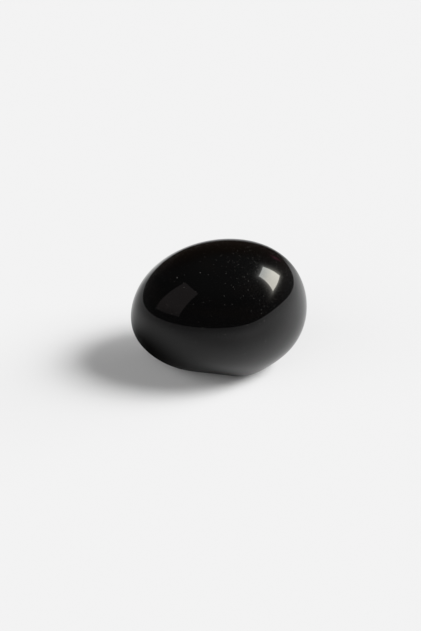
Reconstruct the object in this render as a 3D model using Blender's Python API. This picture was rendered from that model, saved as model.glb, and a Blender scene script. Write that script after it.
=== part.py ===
"""A polished obsidian egg: one piece of black volcanic glass that rests on a small flat.

Blender 4.5, metres, +Z up. The origin is on the resting plane, under the middle of the outline.
The long axis lies along X with the blunt end at +X, and the near side faces -Y.
"""

import math

import bmesh
import bpy
from mathutils import Matrix, Vector

# The egg before it is laid down: a body turned about its long axis
LENGTH = 0.048               # from the small end to the blunt end
THICKNESS = 0.0378           # across the long axis, at the middle
BLUNT_TAPER = 0.043          # share that the thickness grows by, from the middle to the blunt end
FULLNESS = 0.08              # pushes the shoulders out, towards both ends

# How it lies
PITCH = math.radians(4.6)    # the blunt end is raised
FLAT_DEPTH = 0.0011          # how much is ground away to make the flat that it rests on

# Where the hand polish left it flatter than a true egg, or fuller where the depth is negative.
# Each place is given by its azimuth and elevation seen from the centre, in degrees, then the
# depth as a share of the distance to the centre, and how far it spreads, as a share of the same.
SOFT_FACETS = (
    (-111.6, -53.0, 0.052, 0.422),   # low on the near side, left of the flat
    (-34.4, 5.7, 0.071, 0.526),      # the near side of the blunt end
    (-174.5, -14.6, -0.035, 0.376),  # just under the small end
    (-54.2, -53.8, -0.037, 0.248),   # low on the near side, right of the flat
    (-7.7, -19.8, -0.022, 0.494),    # just under the blunt end
)

# Mesh
SEGMENTS = 72                # around the long axis
RINGS = 44                   # from end to end
RIM_SNAP = 0.00008           # points this near the flat's plane are moved onto it
SHARP_ANGLE = math.radians(30)

OBSIDIAN_BLACK = (0.006, 0.0055, 0.0055, 1.0)
MIRROR_POLISH = 0.03


def clear_scene():
    """Remove every object that the scene starts with."""
    for scene_object in list(bpy.data.objects):
        bpy.data.objects.remove(scene_object, do_unlink=True)


def egg_point(unit):
    """Move a point of the unit sphere, poles on Z, to an egg whose long axis is X."""
    along = unit.z
    shoulder = math.sqrt(1.0 + FULLNESS * along ** 2)
    radius = THICKNESS / 2 * shoulder * (1.0 + BLUNT_TAPER * along)
    return Vector((along * LENGTH / 2, unit.x * radius, unit.y * radius))


def direction(azimuth, elevation):
    """Return the unit vector at an azimuth from +X and an elevation, both in degrees."""
    turn = math.radians(azimuth)
    lift = math.radians(elevation)
    return Vector((math.cos(lift) * math.cos(turn), math.cos(lift) * math.sin(turn), math.sin(lift)))


def polished(point):
    """Press the soft facets into a point of the lying egg, towards its centre."""
    outward = point.normalized()
    for azimuth, elevation, depth, spread in SOFT_FACETS:
        reach = (outward - direction(azimuth, elevation)).length / spread
        point = point * (1.0 - depth * math.exp(-reach ** 2))
    return point


def extent(mesh, axis):
    """Return the lowest and highest coordinate of a mesh along one axis."""
    values = [vertex.co[axis] for vertex in mesh.verts]
    return min(values), max(values)


def grind_flat(mesh):
    """Lower the stone into the plane z = 0 and cut away what is below it."""
    lowest, _ = extent(mesh, 2)
    bmesh.ops.translate(mesh, verts=mesh.verts, vec=(0.0, 0.0, -lowest - FLAT_DEPTH))
    for vertex in mesh.verts:
        if abs(vertex.co.z) < RIM_SNAP:
            vertex.co.z = 0.0
    everything = mesh.verts[:] + mesh.edges[:] + mesh.faces[:]
    cut = bmesh.ops.bisect_plane(
        mesh, geom=everything, plane_co=(0, 0, 0), plane_no=(0, 0, 1), clear_inner=True
    )
    rim = [item for item in cut["geom_cut"] if isinstance(item, bmesh.types.BMEdge)]
    bmesh.ops.contextual_create(mesh, geom=rim)


def centre_outline(mesh):
    """Put the middle of the stone's outline, seen from above, over the origin."""
    shift = Vector((-sum(extent(mesh, 0)) / 2, -sum(extent(mesh, 1)) / 2, 0.0))
    bmesh.ops.translate(mesh, verts=mesh.verts, vec=shift)


def obsidian_material():
    """Black volcanic glass with a mirror polish."""
    material = bpy.data.materials.new("obsidian")
    material.use_nodes = True
    shader = material.node_tree.nodes["Principled BSDF"]
    shader.inputs["Base Color"].default_value = OBSIDIAN_BLACK
    shader.inputs["Roughness"].default_value = MIRROR_POLISH
    shader.inputs["Metallic"].default_value = 0.0
    return material


def make_stone():
    """Build the whole stone as one closed solid."""
    mesh = bmesh.new()
    bmesh.ops.create_uvsphere(mesh, u_segments=SEGMENTS, v_segments=RINGS, radius=1.0)
    laid_down = Matrix.Rotation(-PITCH, 3, "Y")
    for vertex in mesh.verts:
        vertex.co = polished(laid_down @ egg_point(vertex.co))
    grind_flat(mesh)
    centre_outline(mesh)
    bmesh.ops.recalc_face_normals(mesh, faces=mesh.faces)
    data = bpy.data.meshes.new("obsidian_egg")
    mesh.to_mesh(data)
    mesh.free()
    data.shade_smooth()
    data.set_sharp_from_angle(angle=SHARP_ANGLE)
    data.materials.append(obsidian_material())
    stone = bpy.data.objects.new("obsidian_egg", data)
    bpy.context.scene.collection.objects.link(stone)


clear_scene()
make_stone()
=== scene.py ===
"""The looks of a polished obsidian egg: volcanic glass on a pale table in soft studio light.

Everything is in metres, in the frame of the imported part: +Z up, the origin on the resting plane.
The stone's long axis lies along X with the blunt end at +X, and its near side faces -Y.
A direction is an azimuth from +X and an elevation, both in degrees. Radiances are linear RGB.
"""

import math

import bmesh
import bpy
from mathutils import Matrix, Vector, noise


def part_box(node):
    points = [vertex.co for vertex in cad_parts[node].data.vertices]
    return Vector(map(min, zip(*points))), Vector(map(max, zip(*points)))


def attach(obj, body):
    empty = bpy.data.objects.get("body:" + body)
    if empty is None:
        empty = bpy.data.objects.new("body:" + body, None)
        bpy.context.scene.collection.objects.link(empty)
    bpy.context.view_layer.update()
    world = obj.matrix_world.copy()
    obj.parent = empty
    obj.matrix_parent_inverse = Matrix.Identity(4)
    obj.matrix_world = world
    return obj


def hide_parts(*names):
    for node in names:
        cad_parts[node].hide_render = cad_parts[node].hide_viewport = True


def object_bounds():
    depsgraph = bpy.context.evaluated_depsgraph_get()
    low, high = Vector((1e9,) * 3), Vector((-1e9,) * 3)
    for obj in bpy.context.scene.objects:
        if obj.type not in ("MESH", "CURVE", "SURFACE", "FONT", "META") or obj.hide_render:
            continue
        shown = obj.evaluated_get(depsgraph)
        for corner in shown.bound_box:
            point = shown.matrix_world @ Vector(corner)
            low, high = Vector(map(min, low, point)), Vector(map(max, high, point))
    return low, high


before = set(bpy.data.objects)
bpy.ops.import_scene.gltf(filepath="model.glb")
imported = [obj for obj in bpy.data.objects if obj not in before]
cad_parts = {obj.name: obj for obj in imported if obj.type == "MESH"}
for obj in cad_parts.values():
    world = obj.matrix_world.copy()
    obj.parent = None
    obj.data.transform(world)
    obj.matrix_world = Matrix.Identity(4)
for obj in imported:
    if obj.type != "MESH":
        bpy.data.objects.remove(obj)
CAD_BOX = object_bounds()

STONE_NODE = "obsidian_egg"

# ---- Camera: the place it had when the picture was taken, for a picture of 421 x 631 ----
IMAGE_WIDTH = 421
IMAGE_HEIGHT = 631
SENSOR_MM = 36.0                     # along the picture's long side
FOCAL_PIXELS = 1392.1                # focal length, in pixels of the picture
CAMERA_DISTANCE = 0.38005            # from the middle of the stone's box
CAMERA_ELEVATION = 33.13             # degrees that it looks down
CAMERA_YAW = 3.51                    # degrees that it looks towards +X
AIM_PIXEL = (219.1, 306.05)          # where the middle of the stone's box appears
CLIP_START = 0.01
CLIP_END = 20.0

# ---- The stone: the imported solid's own shape, made finer ----
LENGTH = 0.048                       # from the small end to the blunt end
THICKNESS = 0.0378                   # across the long axis, at the middle
BLUNT_TAPER = 0.043                  # share that it thickens by, from the middle to the blunt end
FULLNESS = 0.08                      # pushes the shoulders out, towards both ends
PITCH = math.radians(4.6)            # the blunt end is raised
FLAT_DEPTH = 0.0011                  # how much is ground away to make the flat that it rests on
SOFT_FACETS = (                      # azimuth, elevation, depth and spread (shares of the radius)
    (-111.6, -53.0, 0.052, 0.422),
    (-34.4, 5.7, 0.071, 0.526),
    (-174.5, -14.6, -0.035, 0.376),
    (-54.2, -53.8, -0.037, 0.248),
    (-7.7, -19.8, -0.022, 0.494),
)
SPHERE_LEVEL = 7                     # icosphere subdivisions: 81,920 triangles
WAVER_HEIGHT = 0.000006              # what hand polishing leaves uneven
WAVER_PER_METRE = 150.0              # one waver is about 7 mm long
EGG_CENTRE = (0.00036, -0.00004, 0.01769)  # where directions to the dust are taken from
EGG_RADIUS = 0.020                   # the surface's mean distance from that centre

# ---- Obsidian: black volcanic glass with faint brown flow bands, polished and a little dusty ----
GLASS_BLACK = (0.0004, 0.0004, 0.00045, 1.0)
GLASS_BROWN = (0.0010, 0.0007, 0.0006, 1.0)
FLOW_TURN = (0.5, 0.35, 0.3)         # how the flow lies, radians
FLOW_STRETCH = (0.25, 0.6, 1.6)      # long along the flow, close across it
FLOW_PER_METRE = 140.0
FLOW_DETAIL = 5.0
FLOW_TWIST = 0.6
FLOW_EDGES = (0.42, 0.72)
GLASS_IOR = 1.5
GLOSS_ROUGHNESS = 0.02
HAZE_LEVEL = 0.028                   # a faint rough sheen under the gloss, from fine scratches and dust
HAZE_ROUGHNESS = (0.40, 0.54)
HAZE_PER_METRE = 70.0
HAZE_EDGES = (0.3, 0.7)
RIPPLE_HEIGHT = 0.0000003            # left by the polishing wheel
RIPPLE_PER_METRE = 900.0
PIT_DEPTH = 0.000006
PIT_RADIUS = 0.00009
PITS_PER_METRE = 420.0
PIT_SHARE = 0.25                     # how many of the possible pits are there

# Dust: a field of specks, thickest on the side that faces up and to the right, towards the high light:
# real dust that settles on top, and crowding there that is a painted glint near the highlight
DUST = (0.11, 0.108, 0.10, 1.0)
DUST_AND_GLINT_SIDE = (-15.0, 48.0)
DUST_AND_GLINT_REACH = (0.60, 0.98)           # the cosine from that side where dust begins, and where it is thickest
DUST_SHARE = (0.07, 0.42)            # the share of possible specks there, away from that side and on it
DUST_PATCHES_PER_METRE = 160.0
DUST_PATCH_EDGES = (0.25, 0.50)
FINE_DUST = (2600.0, 0.00011, 0.7)   # specks per metre, radius, and how bright the brightest is
COARSE_DUST = (900.0, 0.00014, 1.0)
FAINTNESS = 2.6                      # how much commoner faint specks are than bright ones
SOFT_EDGE = 0.35                     # the share of a speck's radius where it begins to fade

# The few largest specks: azimuth, elevation and radius, seen from the egg's centre
LARGE_SPECKS = (
    (-150.3, 46.2, 0.00016),
    (-58.9, 50.2, 0.00010),
    (-78.7, 48.9, 0.00010),
    (-55.1, 55.7, 0.00009),
    (-61.1, 54.4, 0.00009),
    (-63.3, 43.7, 0.00009),
    (-14.9, 35.3, 0.00010),
    (-11.7, 37.2, 0.00009),
    (-90.0, 11.4, 0.00010),
    (-107.6, 74.7, 0.00009),
    (-146.0, 74.0, 0.00009),
    (171.0, 58.8, 0.00009),
    (-90.0, 42.4, 0.00009),
)

# ---- Table ----
FLOOR_REACH = 4.0
FLOOR_GAP = 0.00002                  # the table lies this far under the stone's flat
FLOOR_WHITE = 0.70                   # the share of light that the table sends back
BACKDROP_WHITE = 1.12                # past the table's edge, about as bright as the open table

# How bright the stone sees the table: pools of light and of shade painted into the table's colour,
# which only the stone's polish sees, on a table squeezed round the stone so that its horizon is at 1.
# Each has its centre, its reach both ways, its turn and its level.
SQUEEZE = 0.112                      # metres from the stone that are drawn at 0.71
POOL_BASE = 0.05
PAINTED_TABLE_POOLS = {
    "light on the right": (0.28, 0.26, 1.04, 0.90, -8.5, 1.19),
    "light behind on the left": (-0.28, 0.81, 0.17, 1.03, 23.0, 0.475),
    "the stone's shadow": (-0.111, 0.023, 0.331, 0.218, 19.5, -0.995),
    "shade behind on the right": (0.41, 1.10, 0.75, 0.225, 89.0, -0.82),
    "shade in front": (0.20, -0.337, 0.524, 0.209, 17.8, -0.325),
    "painted shade in the gap under the stone": (0.009, -0.075, 0.062, 0.047, 0.0, -0.25),
    "painted shade at the table's far end": (-0.74, 1.03, 0.685, 0.078, -3.5, -1.5),
}
POOL_DARKEST = 0.01

# ---- Lights: azimuth, elevation, spread, and how bright each makes the open table ----
TABLE_LIGHTS = {
    "high_light": (-7.0, 43.5, 35.0, 0.71),
    "front_light": (-120.0, 38.0, 46.0, 0.13),
    "left_light": (-165.0, 30.0, 46.0, 0.11),
    "low_light": (15.0, 16.0, 30.0, 0.11),
}
AMBIENT_LEVEL = 0.05                 # how bright the room alone makes it

# ---- Cards: what the stone mirrors. The colour changes along v, from the first edge to the last ----
CARD_DISTANCE = 0.60                 # from the middle of the stone's box
CARD_STEPS = 12
CARD_REACH = 2.2                     # the glow's edge, where the lit part's edge is at 1
CARD_EDGE = 0.0001                   # a spot nearer than this to the lit part is part of it
MOTTLE_SCALE = 1.6
MOTTLE = 0.5                         # how far the mottle shifts the colours along v
GLOW_FADE = (0.27, 0.17, 1.0)        # how fast the glow fades, along u and along v
CARDS = {
    "key_softbox": {
        "corners": ((28.6, 48.3), (-2.1, 54.6), (-14.0, 24.4), (18.0, 26.0)),
        "colours": ((7.8, 8.0, 7.7, 1.0), (11.8, 11.5, 10.4, 1.0)),
        "change": (-1.1, 0.3),
        "glow": 0.3,
    },
    "fill_card": {
        "corners": ((180.0, 54.3), (-135.8, 51.3), (-139.5, 12.6), (-175.3, 9.5)),
        "colours": ((0.19, 0.165, 0.165, 1.0), (0.10, 0.09, 0.09, 1.0)),
        "change": (0.3, 1.1),
        "glow": 0.0,
    },
    "red_card": {
        "corners": ((57.0, 19.0), (52.0, 19.0), (51.0, 12.0), (54.5, 12.0)),
        "colours": ((0.24, 0.05, 0.11, 1.0), (0.16, 0.03, 0.07, 1.0)),
        "change": (-1.0, 1.0),
        "glow": 1.0,
    },
}

# ---- Room, as the stone mirrors it ----
ROOM_FRONT = (0.038, 0.038, 0.039, 1.0)
ROOM_BACK = (0.034, 0.024, 0.018, 1.0)
ROOM_ABOVE = (0.060, 0.060, 0.060, 1.0)
BACK_SIDE = (85.0, 15.0)
BACK_REACH = (0.55, 0.97)
ABOVE_REACH = (0.6, 1.0)

# Tone: the table's white is held at the picture's white, with a soft shoulder below it
TONE_CURVE = ((0.0, 0.0), (0.35, 0.35), (0.70, 0.70), (0.85, 0.815), (1.07, 0.886))
COMBINED_CURVE = 3

# Blender's own: the vector operations that give a number, and the middle of its noise
VALUE_RESULTS = ("DISTANCE", "DOT_PRODUCT", "LENGTH")
NOISE_MIDDLE = 0.5


def direction(azimuth, elevation):
    """Return the unit vector at an azimuth from +X and an elevation."""
    turn = math.radians(azimuth)
    lift = math.radians(elevation)
    return Vector((math.cos(lift) * math.cos(turn), math.cos(lift) * math.sin(turn), math.sin(lift)))


def grey(value):
    return (value, value, value, 1.0)


def link(scene_object):
    bpy.context.scene.collection.objects.link(scene_object)
    return scene_object


class Graph:
    """The emptied node tree of a material or a world, with short ways to add nodes to it."""

    def __init__(self, owner):
        owner.use_nodes = True
        self.tree = owner.node_tree
        self.tree.nodes.clear()

    def add(self, kind, inputs=(), **settings):
        """Add a node, give its inputs a value or a link each, and return its outputs."""
        node = self.tree.nodes.new("ShaderNode" + kind)
        for name, value in settings.items():
            setattr(node, name, value)
        for name, value in dict(inputs).items():
            if isinstance(value, bpy.types.NodeSocket):
                self.tree.links.new(value, node.inputs[name])
            else:
                node.inputs[name].default_value = value
        return node.outputs

    def math(self, operation, *values):
        return self.add("Math", enumerate(values), operation=operation)[0]

    def vector(self, operation, *values):
        outputs = self.add("VectorMath", enumerate(values), operation=operation)
        return outputs["Value"] if operation in VALUE_RESULTS else outputs["Vector"]

    def mix(self, share, low, high):
        """Return the colour low where the share is 0 and high where it is 1.

        Inputs 6 and 7 and output 2 are the Mix node's colour sockets.
        """
        return self.add("Mix", {0: share, 6: low, 7: high}, data_type="RGBA")[2]

    def ramp(self, value, start, end, low=0.0, high=1.0):
        """Return low up to the start, high from the end on, and a smooth change between them."""
        inputs = {"Value": value, "From Min": start, "From Max": end, "To Min": low, "To Max": high}
        return self.add("MapRange", inputs, interpolation_type="SMOOTHSTEP")[0]

    def noise(self, place, scale, detail=2.0, twist=0.0):
        return self.add("TexNoise", {"Vector": place, "Scale": scale, "Detail": detail,
                                     "Distortion": twist})[0]

    def spread(self, place, x, y, reach_x, reach_y, turn):
        """Return a soft round spot, 1 at its centre, on the plane of x and y."""
        spot = self.add("Mapping", {"Vector": place, "Location": (x, y, 0.0),
                                    "Rotation": (0.0, 0.0, math.radians(turn)),
                                    "Scale": (reach_x, reach_y, 1.0)}, vector_type="TEXTURE")[0]
        away = self.vector("DOT_PRODUCT", spot, spot)
        return self.math("EXPONENT", self.math("MULTIPLY", away, -1.0))

    def surface(self, shader, kind="OutputMaterial"):
        self.add(kind, {"Surface": shader})


# ---- Camera ----

def make_camera():
    low, high = CAD_BOX
    target = (low + high) / 2
    yaw = math.radians(CAMERA_YAW)
    fall = math.radians(CAMERA_ELEVATION)
    forward = Vector((math.sin(yaw) * math.cos(fall), math.cos(yaw) * math.cos(fall), -math.sin(fall)))
    right = Vector((math.cos(yaw), -math.sin(yaw), 0.0))
    up = right.cross(forward)
    metres_per_pixel = CAMERA_DISTANCE / FOCAL_PIXELS
    aside = (AIM_PIXEL[0] - IMAGE_WIDTH / 2) * metres_per_pixel
    above = (IMAGE_HEIGHT / 2 - AIM_PIXEL[1]) * metres_per_pixel
    data = bpy.data.cameras.new("camera")
    data.sensor_width = SENSOR_MM
    data.lens = FOCAL_PIXELS * SENSOR_MM / IMAGE_HEIGHT
    data.clip_start = CLIP_START
    data.clip_end = CLIP_END
    data.dof.use_dof = False
    camera = link(bpy.data.objects.new("camera", data))
    camera.location = target - forward * CAMERA_DISTANCE - right * aside - up * above
    camera.rotation_euler = forward.to_track_quat("-Z", "Y").to_euler()
    bpy.context.scene.camera = camera


# ---- Shape ----

def egg_point(unit):
    """Move a point of the unit sphere to an egg whose long axis is X."""
    along = unit.x
    shoulder = math.sqrt(1.0 + FULLNESS * along ** 2)
    radius = THICKNESS / 2 * shoulder * (1.0 + BLUNT_TAPER * along)
    return Vector((along * LENGTH / 2, unit.y * radius, unit.z * radius))


def polished(point):
    """Press the soft facets, and the faint waver of hand polishing, into a point of the egg."""
    outward = point.normalized()
    for azimuth, elevation, depth, spread in SOFT_FACETS:
        reach = (outward - direction(azimuth, elevation)).length / spread
        point = point * (1.0 - depth * math.exp(-reach ** 2))
    return point + outward * WAVER_HEIGHT * noise.noise(point * WAVER_PER_METRE)


def extent(mesh, axis):
    values = [vertex.co[axis] for vertex in mesh.verts]
    return min(values), max(values)


def settle(mesh):
    """Rest the stone on its ground flat and centre its outline over the origin."""
    lowest, _ = extent(mesh, 2)
    shift = Vector((-sum(extent(mesh, 0)) / 2, -sum(extent(mesh, 1)) / 2, -lowest - FLAT_DEPTH))
    bmesh.ops.translate(mesh, verts=mesh.verts, vec=shift)
    for vertex in mesh.verts:
        vertex.co.z = max(vertex.co.z, 0.0)


def fit_inside(mesh, low, high):
    """Shrink the stone, by microns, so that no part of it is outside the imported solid's box."""
    room = []
    for axis in range(3):
        least, most = extent(mesh, axis)
        room.append((high[axis] - low[axis]) / (most - least))
    bmesh.ops.scale(mesh, verts=mesh.verts, vec=Vector((1.0, 1.0, 1.0)) * min(1.0, *room))


def make_stone():
    mesh = bmesh.new()
    bmesh.ops.create_icosphere(mesh, subdivisions=SPHERE_LEVEL, radius=1.0)
    laid_down = Matrix.Rotation(-PITCH, 3, "Y")
    for vertex in mesh.verts:
        vertex.co = polished(laid_down @ egg_point(vertex.co))
    settle(mesh)
    fit_inside(mesh, *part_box(STONE_NODE))
    data = bpy.data.meshes.new("polished_stone")
    mesh.to_mesh(data)
    mesh.free()
    data.shade_smooth()
    data.materials.append(obsidian())
    stone = link(bpy.data.objects.new("polished_stone", data))
    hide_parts(STONE_NODE)
    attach(stone, "root")


# ---- Obsidian ----

def flow_bands(graph, place):
    """Return the glass's own colour, drawn out in bands when the lava was still moving."""
    drawn = graph.add("Mapping", {"Vector": place, "Rotation": FLOW_TURN, "Scale": FLOW_STRETCH})[0]
    bands = graph.ramp(graph.noise(drawn, FLOW_PER_METRE, FLOW_DETAIL, FLOW_TWIST), *FLOW_EDGES)
    return graph.mix(bands, GLASS_BLACK, GLASS_BROWN)


def specks(graph, place, per_metre, radius, share):
    """Return the scattered specks of one size, from 0 to 1, most of them faint."""
    cells = graph.add("TexVoronoi", {"Vector": place, "Scale": per_metre})
    chance = graph.add("SeparateColor", {0: cells["Color"]})
    size = radius * per_metre
    round_spot = graph.ramp(cells["Distance"], size, size * SOFT_EDGE)
    there = graph.math("LESS_THAN", chance[0], share)
    strength = graph.math("POWER", chance[1], FAINTNESS)
    return graph.math("MULTIPLY", graph.math("MULTIPLY", round_spot, there), strength)


def dust(graph, place):
    """Return where dust lies on the stone, from 0 to 1, crowded towards the high light as a painted glint.
    """
    outward = graph.vector("NORMALIZE", graph.vector("SUBTRACT", place, EGG_CENTRE))
    # thicker towards the high light: real dust, and a painted glint near the highlight
    side = graph.vector("DOT_PRODUCT", outward, direction(*DUST_AND_GLINT_SIDE))
    share = graph.ramp(side, *DUST_AND_GLINT_REACH, *DUST_SHARE)
    patches = graph.ramp(graph.noise(place, DUST_PATCHES_PER_METRE), *DUST_PATCH_EDGES)
    share = graph.math("MULTIPLY", share, patches)
    found = 0.0
    for per_metre, radius, brightest in (FINE_DUST, COARSE_DUST):
        layer = graph.math("MULTIPLY", specks(graph, place, per_metre, radius, share), brightest)
        found = graph.math("MAXIMUM", found, layer)
    for azimuth, elevation, radius in LARGE_SPECKS:
        away = graph.vector("DISTANCE", outward, direction(azimuth, elevation))
        size = radius / EGG_RADIUS
        found = graph.math("MAXIMUM", found, graph.ramp(away, size, size * SOFT_EDGE))
    return found


def relief(graph, place):
    """Return the normal with the polishing wheel's faint ripple and a few tiny pits."""
    ripple = graph.math("MULTIPLY", graph.noise(place, RIPPLE_PER_METRE), RIPPLE_HEIGHT)
    pits = graph.math("MULTIPLY", specks(graph, place, PITS_PER_METRE, PIT_RADIUS, PIT_SHARE), PIT_DEPTH)
    height = graph.math("SUBTRACT", ripple, pits)
    return graph.add("Bump", {"Height": height, "Distance": 1.0})[0]


def obsidian():
    material = bpy.data.materials.new("obsidian_polished")
    graph = Graph(material)
    place = graph.add("TexCoord")["Object"]
    normal = relief(graph, place)
    graph.surface(graph.add("BsdfPrincipled", {
        "Base Color": graph.mix(dust(graph, place), flow_bands(graph, place), DUST),
        "Roughness": graph.ramp(graph.noise(place, HAZE_PER_METRE), *HAZE_EDGES, *HAZE_ROUGHNESS),
        "Specular IOR Level": HAZE_LEVEL,
        "Coat Weight": 1.0,
        "Coat Roughness": GLOSS_ROUGHNESS,
        "Coat IOR": GLASS_IOR,
        "Normal": normal,
        "Coat Normal": normal,
    })[0])
    return material


# ---- Table ----

def painted_table_light(graph, place):
    """Return the light and shade painted into the table's colour for the stone's polish, where 1 is the
    open table.
    """
    away = graph.vector("DOT_PRODUCT", place, place)
    scale = graph.math("SQRT", graph.math("ADD", away, SQUEEZE ** 2))
    squeezed = graph.vector("DIVIDE", place, scale)
    light = POOL_BASE
    for *shape, level in PAINTED_TABLE_POOLS.values():
        pool = graph.math("MULTIPLY", graph.spread(squeezed, *shape), level)
        light = graph.math("ADD", light, pool)
    return graph.math("MAXIMUM", light, POOL_DARKEST)


def table_material():
    material = bpy.data.materials.new("table")
    graph = Graph(material)
    place = graph.add("TexCoord")["Object"]
    # painted light and shade: only glossy rays see the table's colour changed by the pools
    painted_pools = graph.math("MULTIPLY", painted_table_light(graph, place), FLOOR_WHITE)
    glossy = graph.add("LightPath")["Is Glossy Ray"]
    colour = graph.mix(glossy, grey(FLOOR_WHITE), painted_pools)
    graph.surface(graph.add("BsdfDiffuse", {"Color": colour})[0])
    return material


def make_table():
    corners = [(x * FLOOR_REACH, y * FLOOR_REACH, -FLOOR_GAP)
               for x, y in ((-1, -1), (1, -1), (1, 1), (-1, 1))]
    data = bpy.data.meshes.new("table_top")
    data.from_pydata(corners, [], [(0, 1, 2, 3)])
    data.materials.append(table_material())
    link(bpy.data.objects.new("table_top", data))


# ---- Cards ----

def card_mesh(name, corners):
    """Make a card whose u and v run from -1 to 1 over its lit part, and on past it for the glow."""
    middle = (CAD_BOX[0] + CAD_BOX[1]) / 2
    first, second, third, fourth = (middle + direction(*corner) * CARD_DISTANCE for corner in corners)
    steps = [CARD_REACH * (2 * step / CARD_STEPS - 1) for step in range(CARD_STEPS + 1)]
    spots = [(u, v) for v in steps for u in steps]
    points = []
    for u, v in spots:
        near = first.lerp(second, (u + 1) / 2)
        far = fourth.lerp(third, (u + 1) / 2)
        points.append(near.lerp(far, (v + 1) / 2))
    side = CARD_STEPS + 1
    starts = [row * side + column for row in range(CARD_STEPS) for column in range(CARD_STEPS)]
    data = bpy.data.meshes.new(name)
    data.from_pydata(points, [], [(start, start + 1, start + 1 + side, start + side) for start in starts])
    layer = data.uv_layers.new(name="spot")
    for loop in data.loops:
        layer.data[loop.index].uv = spots[loop.vertex_index]
    return data


def card_material(name, colours, change, glow):
    """A card that shines where it is lit, and is clear with a fading glow round that.

    The glow is the share of the lit part's brightness that it begins with at the edge.
    """
    material = bpy.data.materials.new(name)
    graph = Graph(material)
    place = graph.add("TexCoord")["UV"]
    mottle = graph.math("SUBTRACT", graph.noise(place, MOTTLE_SCALE), NOISE_MIDDLE)
    along = graph.add("SeparateXYZ", {0: place})["Y"]
    along = graph.math("ADD", along, graph.math("MULTIPLY", mottle, MOTTLE))
    lit = graph.mix(graph.ramp(along, *change), *colours)
    beyond = graph.vector("SUBTRACT", graph.vector("ABSOLUTE", place), (1.0, 1.0, 0.0))
    beyond = graph.vector("DIVIDE", graph.vector("MAXIMUM", beyond, (0.0, 0.0, 0.0)), GLOW_FADE)
    distance = graph.vector("LENGTH", beyond)
    inside = graph.math("LESS_THAN", distance, CARD_EDGE)
    fade = graph.math("MULTIPLY", graph.math("EXPONENT", graph.math("MULTIPLY", distance, -1.0)), glow)
    light = graph.add("Emission", {"Color": lit, "Strength": graph.math("MAXIMUM", inside, fade)})[0]
    clear = graph.add("BsdfTransparent")[0]
    graph.surface(graph.add("AddShader", {0: light, 1: clear})[0])
    return material


def make_card(name, corners, colours, change, glow):
    data = card_mesh(name, corners)
    data.materials.append(card_material(name, colours, change, glow))
    card = link(bpy.data.objects.new(name, data))
    card.visible_camera = False
    card.visible_diffuse = False
    card.visible_shadow = False
    card.visible_transmission = False


# ---- Lights and room ----

def make_table_light(name, azimuth, elevation, spread, level):
    towards = direction(azimuth, elevation)
    data = bpy.data.lights.new(name, "SUN")
    data.energy = level * math.pi / (FLOOR_WHITE * towards.z)
    data.angle = math.radians(spread)
    light = link(bpy.data.objects.new(name, data))
    light.rotation_euler = towards.to_track_quat("Z", "Y").to_euler()
    light.visible_glossy = False


def make_room():
    """Make a pale backdrop for the camera, a dim room for the stone's polish, and a little fill."""
    world = bpy.data.worlds.new("studio")
    bpy.context.scene.world = world
    world.cycles.sampling_method = "NONE"
    graph = Graph(world)
    towards = graph.add("TexCoord")["Generated"]
    rays = graph.add("LightPath")
    back = graph.ramp(graph.vector("DOT_PRODUCT", towards, direction(*BACK_SIDE)), *BACK_REACH)
    above = graph.ramp(graph.vector("DOT_PRODUCT", towards, (0.0, 0.0, 1.0)), *ABOVE_REACH)
    room = graph.mix(above, graph.mix(back, ROOM_FRONT, ROOM_BACK), ROOM_ABOVE)
    backdrop = graph.mix(rays["Is Camera Ray"], grey(AMBIENT_LEVEL / FLOOR_WHITE), grey(BACKDROP_WHITE))
    colour = graph.mix(rays["Is Glossy Ray"], backdrop, room)
    graph.surface(graph.add("Background", {"Color": colour})[0], "OutputWorld")


def set_tone():
    view = bpy.context.scene.view_settings
    view.view_transform = "Standard"
    view.use_curve_mapping = True
    mapping = view.curve_mapping
    mapping.clip_max_x = TONE_CURVE[-1][0]
    curve = mapping.curves[COMBINED_CURVE]
    curve.points[0].location = TONE_CURVE[0]
    curve.points[1].location = TONE_CURVE[-1]
    for point in TONE_CURVE[1:-1]:
        curve.points.new(*point)
    mapping.update()


make_camera()
make_stone()
make_table()
for card_name, card in CARDS.items():
    make_card(card_name, **card)
for light_name, light in TABLE_LIGHTS.items():
    make_table_light(light_name, *light)
make_room()
set_tone()
